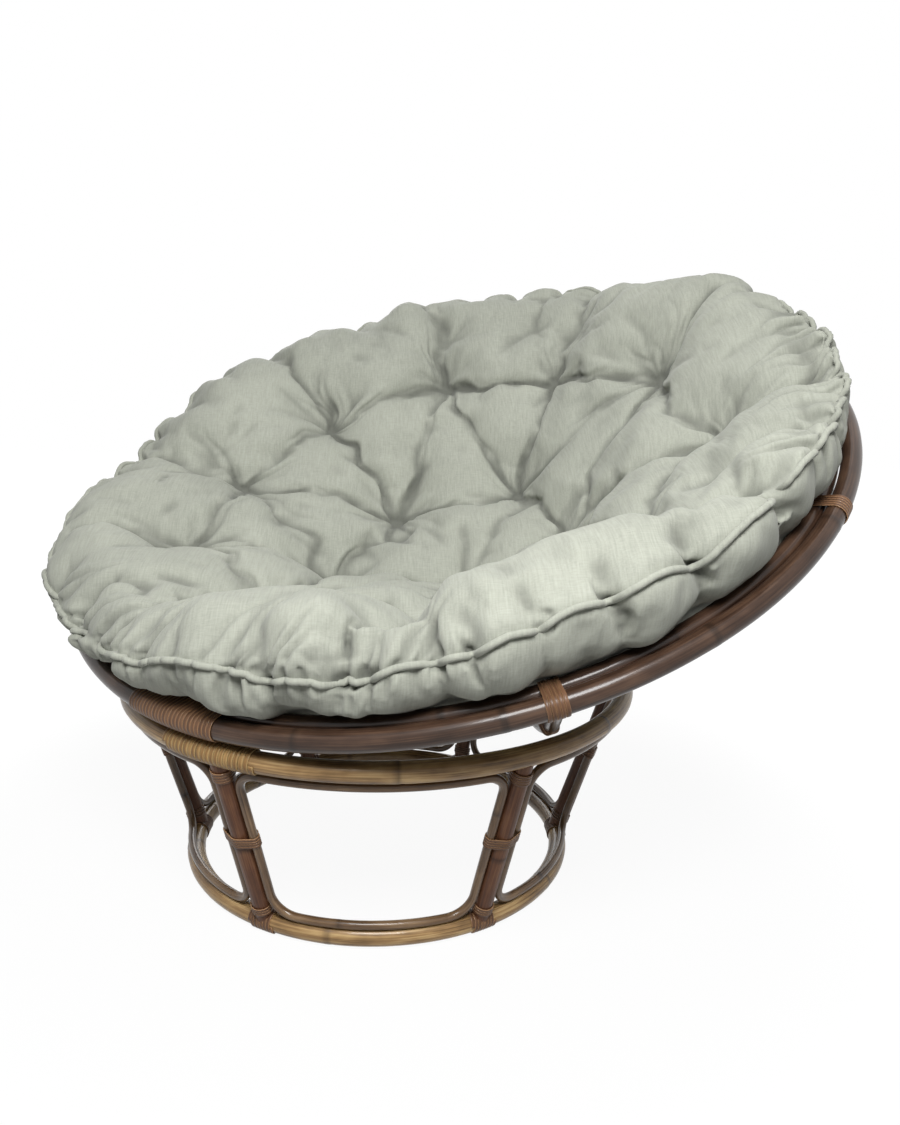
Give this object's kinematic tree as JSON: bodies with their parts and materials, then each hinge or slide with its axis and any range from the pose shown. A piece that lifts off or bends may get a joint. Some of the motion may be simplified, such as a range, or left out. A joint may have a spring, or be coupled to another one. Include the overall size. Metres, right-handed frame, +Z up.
{
  "type": "papasan chair",
  "caption": "Round bowl seat of bent rattan on a separate round rattan base, with one thick tufted cushion that lifts out.",
  "frame": {"origin": "on the floor, under the middle of the chair's bounding box", "axes": "+Z up, -Y is the side that the picture is taken from and that the seat faces, +X to the right of that view"},
  "size_m": [1.1164, 1.082, 0.8673],
  "materials": {
    "rim_rattan": "dark brown lacquered rattan",
    "base_rattan": "brown lacquered rattan",
    "dark_binding": "dark brown flat rattan peel",
    "tan_binding": "yellow tan flat rattan peel",
    "cushion_cloth": "sage grey woven cloth"
  },
  "bodies": {
    "base": {"base_bottom_ring": "base_rattan", "base_top_ring": "base_rattan", "base_ring_splice_wrap": "tan_binding", "base_leg_1": "base_rattan", "base_leg_2": "base_rattan", "base_leg_3": "base_rattan", "base_leg_4": "base_rattan", "base_leg_5": "base_rattan", "base_leg_6": "base_rattan", "base_loop_1": "base_rattan", "base_loop_2": "base_rattan", "base_loop_3": "base_rattan", "base_loop_4": "base_rattan", "base_loop_5": "base_rattan", "base_loop_6": "base_rattan", "leg_top_lashing_1": "tan_binding", "leg_top_lashing_2": "tan_binding", "leg_top_lashing_3": "tan_binding", "leg_top_lashing_4": "tan_binding", "leg_top_lashing_5": "tan_binding", "leg_top_lashing_6": "tan_binding", "leg_middle_lashing_1": "tan_binding", "leg_middle_lashing_2": "tan_binding", "leg_middle_lashing_3": "tan_binding", "leg_middle_lashing_4": "tan_binding", "leg_middle_lashing_5": "tan_binding", "leg_middle_lashing_6": "tan_binding", "leg_foot_lashing_1": "tan_binding", "leg_foot_lashing_2": "tan_binding", "leg_foot_lashing_3": "tan_binding", "leg_foot_lashing_4": "tan_binding", "leg_foot_lashing_5": "tan_binding", "leg_foot_lashing_6": "tan_binding"},
    "bowl": {"rim_outer_hoop": "rim_rattan", "rim_inner_hoop": "rim_rattan", "middle_hoop": "rim_rattan", "bottom_hoop": "rim_rattan", "rim_splice_wrap": "dark_binding", "middle_hoop_splice": "dark_binding", "rib_1": "rim_rattan", "rib_2": "rim_rattan", "rib_3": "rim_rattan", "rib_4": "rim_rattan", "rib_5": "rim_rattan", "rib_6": "rim_rattan", "rib_7": "rim_rattan", "rib_8": "rim_rattan", "rim_lashing_1": "dark_binding", "rim_lashing_2": "dark_binding", "rim_lashing_3": "dark_binding", "rim_lashing_4": "dark_binding", "rim_lashing_5": "dark_binding", "rim_lashing_6": "dark_binding", "rim_lashing_7": "dark_binding"},
    "cushion": {"cushion_top_panel": "cushion_cloth", "cushion_bottom_panel": "cushion_cloth", "cushion_piping": "cushion_cloth"}
  },
  "joints": [
    {"name": "bowl_tilt", "type": "hinge", "parent": "base", "child": "bowl", "pos_m": [-0.07186, -0.12362, 0.82725], "axis": [0.807, -0.5906, 0], "range_deg": [-52, 0]},
    {"name": "cushion_lift", "type": "slide", "parent": "bowl", "child": "cushion", "axis": [-0.2685, -0.3669, 0.8907], "range_m": [0, 0.36]}
  ]
}
